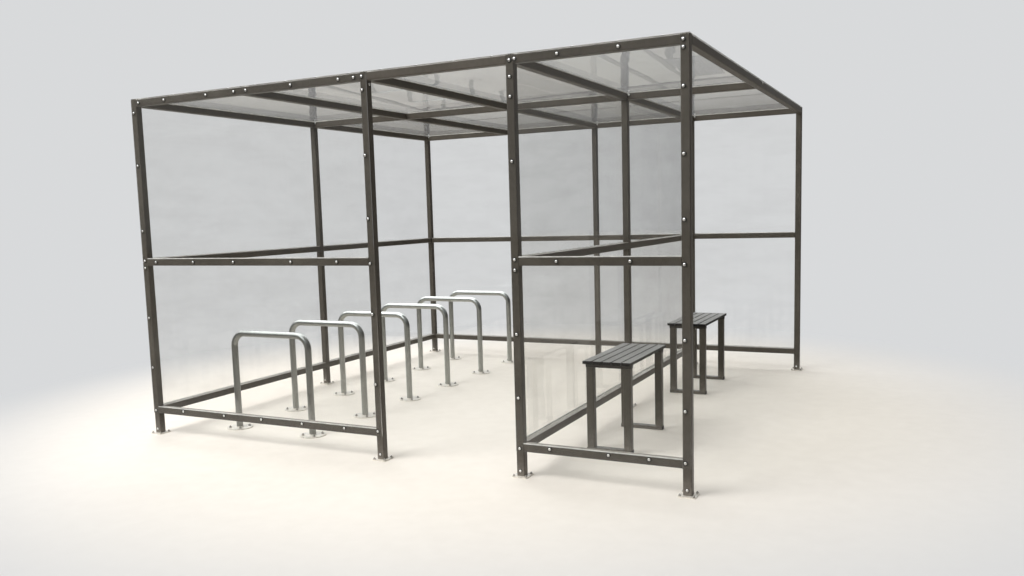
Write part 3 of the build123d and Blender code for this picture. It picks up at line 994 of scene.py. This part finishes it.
# %% Floor
BACKDROP = (0.69, 0.70, 0.71, 1)
SLAB_DARK, SLAB_LIGHT = (0.84, 0.785, 0.705, 1), (0.91, 0.855, 0.775, 1)
OUTER_GROUND = (0.30, 0.28, 0.25, 1)
FADE_TO_BACKDROP = (2.4, 4.9)
SLAB_ENDS = (2.8, 4.6)
FLOOR_RADIUS, FLOOR_SEGMENTS = 60.0, 64


def floor_material():
    """Pale concrete that turns into a glow of the backdrop, with darker ground outside for
    scattered and mirrored rays."""
    material, tree, shader, output = start_material("floor", Roughness=0.75)
    place = object_place(tree)
    tone = use_group(tree, TONE, Dark=SLAB_DARK, Light=SLAB_LIGHT, Broad_scale=0.35, Fine_scale=9.0)
    tree.links.new(tone.outputs[0], shader.inputs["Base Color"])
    length = node(tree, "ShaderNodeVectorMath", {"operation": "LENGTH"}, i0=place)
    distance = length.outputs["Value"]
    glow = node(tree, "ShaderNodeEmission", {}, Color=BACKDROP, Strength=1.0)
    fade = scaled(tree, distance, *FADE_TO_BACKDROP, curve="SMOOTHSTEP")
    pale = node(tree, "ShaderNodeMixShader", {}, i0=fade, i1=shader.outputs[0], i2=glow.outputs[0])
    path = node(tree, "ShaderNodeLightPath")
    indirect = larger(tree, path.outputs["Is Diffuse Ray"], mirrored_ray(tree, path))
    outside = times(tree, indirect, scaled(tree, distance, *SLAB_ENDS, curve="SMOOTHSTEP"))
    ground = node(tree, "ShaderNodeBsdfDiffuse", {}, Color=OUTER_GROUND)
    mix = node(tree, "ShaderNodeMixShader", {}, i0=outside, i1=pale.outputs[0], i2=ground.outputs[0])
    tree.links.new(mix.outputs[0], output.inputs["Surface"])
    return material


# The profile is flat, so only its quads and the small face in the middle are kept.
ring, faces = turned([(FLOOR_RADIUS, 0.0), (0.01, 0.0)], FLOOR_SEGMENTS)
floor_mesh = bpy.data.meshes.new("floor")
floor_mesh.from_pydata(ring.tolist(), [], faces[:FLOOR_SEGMENTS] + [faces[-1]])
floor_mesh.update()
floor = bpy.data.objects.new("floor", floor_mesh)
bpy.context.scene.collection.objects.link(floor)
floor_mesh.materials.append(floor_material())
print("floor faces", len(floor_mesh.polygons))

# %% [markdown]
# ## Sky
#
# The light is an overcast studio: a pale dome that is brighter overhead and on the left. What a
# tube or a sheet mirrors is another matter, since on the real one the right and the front show
# dark surroundings and only the high sky is bright. So the world has two values: one that lights
# surfaces, and one that the camera and mirrored rays see. The second is the plain backdrop for
# the camera, dark on the right and low at the front for mirrored rays, and bright high up for
# the soft shine on steel. A sheet mirrors one sharp ray, which the Light Path node calls
# singular. For such a ray the high sky is hardly brighter and nowhere dark, or the roof would
# turn white from one side and black from another.

# %% Sky: what lights, and what is mirrored
# Each scaled() turns a range of the direction's x, y or z into a range of brightness.
CLOUD = (1.0, 0.99, 0.975, 1)
world = bpy.data.worlds.new("Studio")
bpy.context.scene.world = world
world.use_nodes = True
sky = world.node_tree
sky.nodes.clear()
direction = node(sky, "ShaderNodeTexCoord").outputs["Generated"]
part = node(sky, "ShaderNodeSeparateXYZ", {}, Vector=direction)
x, y, z = (part.outputs[axis] for axis in "XYZ")
path = node(sky, "ShaderNodeLightPath")
strength = times(sky, scaled(sky, z, -0.05, 1.0, 0.55, 1.15), scaled(sky, x, -0.6, 1.0, 1.12, 0.05))
by_sheet = path.outputs["Is Singular Ray"]
high_for_sheet = times(sky, by_sheet, scaled(sky, z, 0.14, 0.24))
side = larger(sky, high_for_sheet, scaled(sky, x, 0.04, 0.16, 1.0, 0.10))
front = larger(sky, scaled(sky, y, -0.45, 0.0, 0.45, 1.0), scaled(sky, z, 0.12, 0.26))
high_gain = scaled(sky, by_sheet, to_low=7.2, to_high=1.25)
high_sky = scaled(sky, z, 0.35, 0.58, 1.0, high_gain)
in_mirror = times(sky, times(sky, side, front), high_sky)
backdrop = between(sky, mirrored_ray(sky, path), 1.0, in_mirror)
print("sky nodes so far:", len(sky.nodes))

# %% Sky: which rays see which
straight = larger(sky, path.outputs["Is Camera Ray"], path.outputs["Is Transmission Ray"])
shown = larger(sky, straight, path.outputs["Is Glossy Ray"])
lit = node(sky, "ShaderNodeBackground", {}, Color=CLOUD, Strength=strength)
seen = node(sky, "ShaderNodeBackground", {}, Color=BACKDROP, Strength=backdrop)
either = node(sky, "ShaderNodeMixShader", {}, i0=shown, i1=lit.outputs[0], i2=seen.outputs[0])
last = sky.nodes.new("ShaderNodeOutputWorld")
sky.links.new(either.outputs[0], last.inputs["Surface"])
print("sky nodes:", len(sky.nodes))

# %% [markdown]
# ## Lamps
#
# Two large round lamps, high on the left, take the part of the brightest clouds: a strong one at
# the front and a weaker one behind. Left and upper faces come out light and right ones dark, and
# the shadows stay soft. No ray that is mirrored or let through shows the lamps themselves.

# %% Lamps
def soft_lamp(name, size, watts, place, aim):
    """A round area lamp that shines at the aim and isn't itself seen, straight on or in sheets."""
    data = bpy.data.lights.new(name, "AREA")
    data.shape = "DISK"
    data.size = size
    data.energy = watts
    lamp = bpy.data.objects.new(name, data)
    bpy.context.scene.collection.objects.link(lamp)
    lamp.location = place
    lamp.rotation_euler = (Vector(aim) - Vector(place)).to_track_quat("-Z", "Y").to_euler()
    lamp.visible_camera = False
    lamp.visible_transmission = False
    lamp.visible_glossy = False
    print(name, watts, "W")


soft_lamp("Front lamp", size=7.0, watts=850.0, place=(-4.5, -8.0, 8.5), aim=(0, 0, 1.0))
soft_lamp("Rear lamp", size=5.0, watts=420.0, place=(-9.5, 6.5, 7.0), aim=(-0.5, 0, 1.0))
